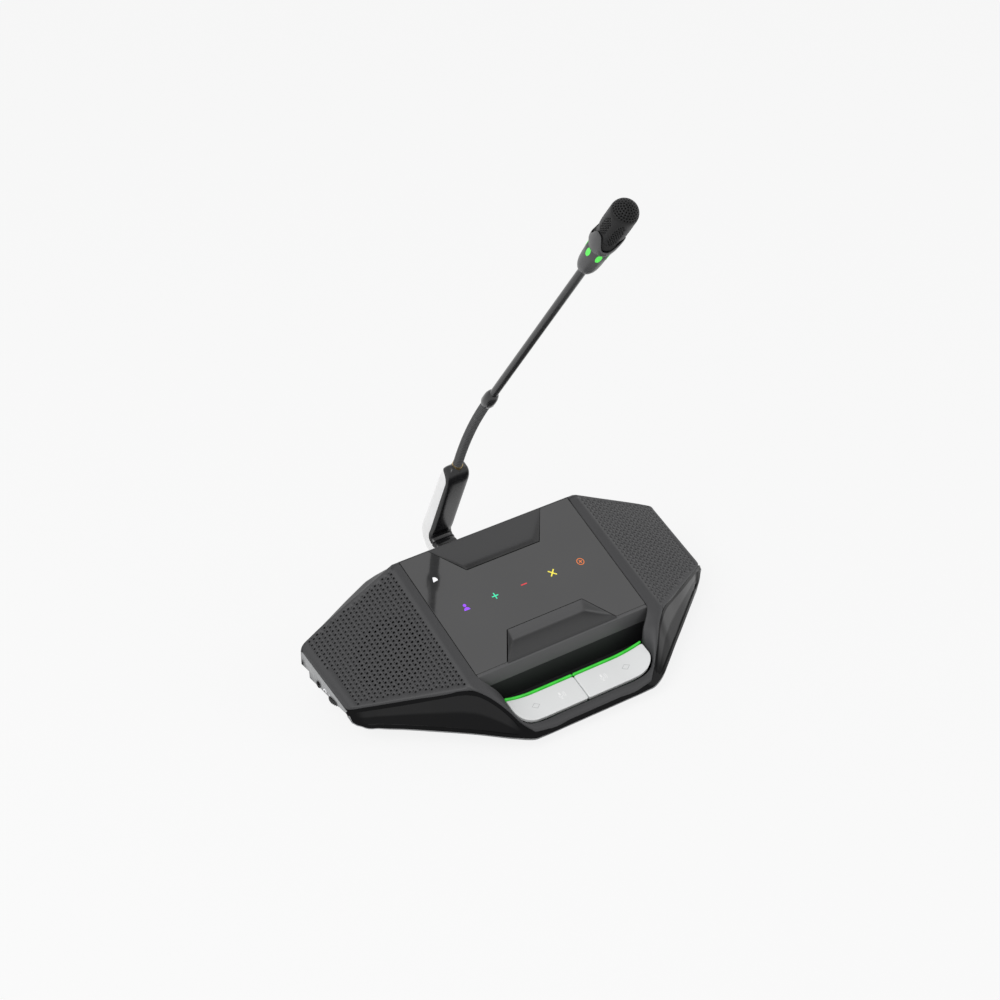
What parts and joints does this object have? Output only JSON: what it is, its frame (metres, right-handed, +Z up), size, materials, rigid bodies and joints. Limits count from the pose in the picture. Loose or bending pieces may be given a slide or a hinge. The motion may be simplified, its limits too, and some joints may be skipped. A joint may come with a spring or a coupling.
{
  "type": "conference delegate unit",
  "caption": "Winged desktop discussion unit with a sloping touch panel, lit talk keys, side loudspeakers and a bendable gooseneck microphone on a rear arm.",
  "frame": {"origin": "on the desk surface, below the middle of the bounding box", "axes": "+Z up, +X to the right of the person who sits at the unit, the person sits towards -Y"},
  "size_m": [0.262, 0.197, 0.3465],
  "materials": {
    "cover": "fine matte",
    "base": "satin pearl grey",
    "skirt": "high gloss black",
    "panel": "dark glossy glass, opaque backed",
    "tray": "matte",
    "board": "solder mask",
    "key": "silver satin",
    "rod": "ground",
    "strip": "translucent green",
    "well": "matte black",
    "dome": "moulded",
    "cloth": "woven",
    "basket": "pressed steel",
    "cone": "pressed paper",
    "wheel": "matte black",
    "jack": "matte black",
    "encoder": "matte",
    "socket_shield": "tinned",
    "foot": "matte",
    "arm_pearl": "gloss pearl white",
    "arm_dark": "satin black",
    "brass": "turned",
    "neck": "satin black",
    "mic": "satin dark grey",
    "screen": "satin black",
    "screw": "zinc plated"
  },
  "bodies": {
    "housing": {"top_cover": "cover", "base_pan": "base", "front_skirt": "skirt", "touch_panel": "panel", "panel_tray": "tray", "main_board": "board", "key_board": "board", "rear_board": "board", "side_board_left": "board", "side_board_right": "board", "key_hinge_rod": "rod", "light_strip_left": "strip", "light_strip_right": "strip", "key_well": "well", "key_dome_left": "dome", "key_dome_right": "dome", "speaker_cloth_left": "cloth", "speaker_basket_left": "basket", "speaker_cone_left": "cone", "headphone_jack_left": "jack", "volume_encoder_left": "encoder", "network_socket_left": "socket_shield", "arm_screw_left": "screw", "speaker_cloth_right": "cloth", "speaker_basket_right": "basket", "speaker_cone_right": "cone", "headphone_jack_right": "jack", "volume_encoder_right": "encoder", "network_socket_right": "socket_shield", "arm_screw_right": "screw", "case_screw_1": "screw", "foot_1": "foot", "case_screw_2": "screw", "foot_2": "foot", "case_screw_3": "screw", "foot_3": "foot", "case_screw_4": "screw", "foot_4": "foot", "arm_shell": "arm_pearl", "arm_cover": "arm_dark", "mic_socket": "brass", "neck_plug": "neck"},
    "talk_key_left_body": {"talk_key_left": "key"},
    "talk_key_right_body": {"talk_key_right": "key"},
    "volume_wheel_left_body": {"volume_wheel_left": "wheel"},
    "volume_wheel_right_body": {"volume_wheel_right": "wheel"},
    "neck_1": {"neck_link_1": "neck"},
    "neck_2": {"neck_link_2": "neck"},
    "neck_3": {"neck_link_3": "neck"},
    "neck_4": {"neck_link_4": "neck"},
    "neck_5": {"neck_link_5": "neck"},
    "neck_6": {"neck_link_6": "neck"},
    "microphone": {"neck_collar": "neck", "stem_tube": "neck", "mic_body": "mic", "mic_light_ring": "strip", "mic_cup": "mic", "windscreen": "screen", "mic_capsule": "basket"}
  },
  "joints": [
    {"name": "talk_key_left_press", "type": "hinge", "parent": "housing", "child": "talk_key_left_body", "pos_m": [0, -0.05803, 0.01538], "axis": [1, 0, 0], "range_deg": [0, 4], "stiffness_Nm_per_rad": 0.2, "springref_deg": -2.86, "deforming": ["key_dome_left"]},
    {"name": "talk_key_right_press", "type": "hinge", "parent": "housing", "child": "talk_key_right_body", "pos_m": [0, -0.05803, 0.01538], "axis": [1, 0, 0], "range_deg": [0, 4], "stiffness_Nm_per_rad": 0.2, "springref_deg": -2.86, "deforming": ["key_dome_right"]},
    {"name": "volume_wheel_left_turn", "type": "hinge", "parent": "housing", "child": "volume_wheel_left_body", "pos_m": [-0.1215, 0.00313, 0.0205], "axis": [0, 0, 1], "range_deg": [-140, 140]},
    {"name": "volume_wheel_right_turn", "type": "hinge", "parent": "housing", "child": "volume_wheel_right_body", "pos_m": [0.1215, 0.00313, 0.0205], "axis": [0, 0, 1], "range_deg": [-140, 140]},
    {"name": "neck_bend_1", "type": "hinge", "parent": "housing", "child": "neck_1", "pos_m": [0, 0.06543, 0.104], "axis": [1, 0, 0], "range_deg": [-16, 16]},
    {"name": "neck_tilt_2", "type": "hinge", "parent": "neck_1", "child": "neck_2", "pos_m": [0, 0.06127, 0.11418], "axis": [0, 0.9094, 0.4159], "range_deg": [-16, 16]},
    {"name": "neck_bend_3", "type": "hinge", "parent": "neck_2", "child": "neck_3", "pos_m": [0, 0.0567, 0.12419], "axis": [1, 0, 0], "range_deg": [-16, 16]},
    {"name": "neck_tilt_4", "type": "hinge", "parent": "neck_3", "child": "neck_4", "pos_m": [0, 0.05171, 0.13399], "axis": [0, 0.8717, 0.49], "range_deg": [-16, 16]},
    {"name": "neck_bend_5", "type": "hinge", "parent": "neck_4", "child": "neck_5", "pos_m": [0, 0.04632, 0.14358], "axis": [1, 0, 0], "range_deg": [-16, 16]},
    {"name": "neck_tilt_6", "type": "hinge", "parent": "neck_5", "child": "neck_6", "pos_m": [0, 0.04054, 0.15294], "axis": [0, 0.828, 0.5608], "range_deg": [-16, 16]},
    {"name": "neck_bend_7", "type": "hinge", "parent": "neck_6", "child": "microphone", "pos_m": [0, 0.03437, 0.16205], "axis": [1, 0, 0], "range_deg": [-16, 16]}
  ],
  "couplings": [
    {"joint": "neck_bend_3", "follows": "neck_bend_1", "ratio": 1},
    {"joint": "neck_bend_5", "follows": "neck_bend_1", "ratio": 1},
    {"joint": "neck_bend_7", "follows": "neck_bend_1", "ratio": 1},
    {"joint": "neck_tilt_4", "follows": "neck_tilt_2", "ratio": 1},
    {"joint": "neck_tilt_6", "follows": "neck_tilt_2", "ratio": 1}
  ]
}
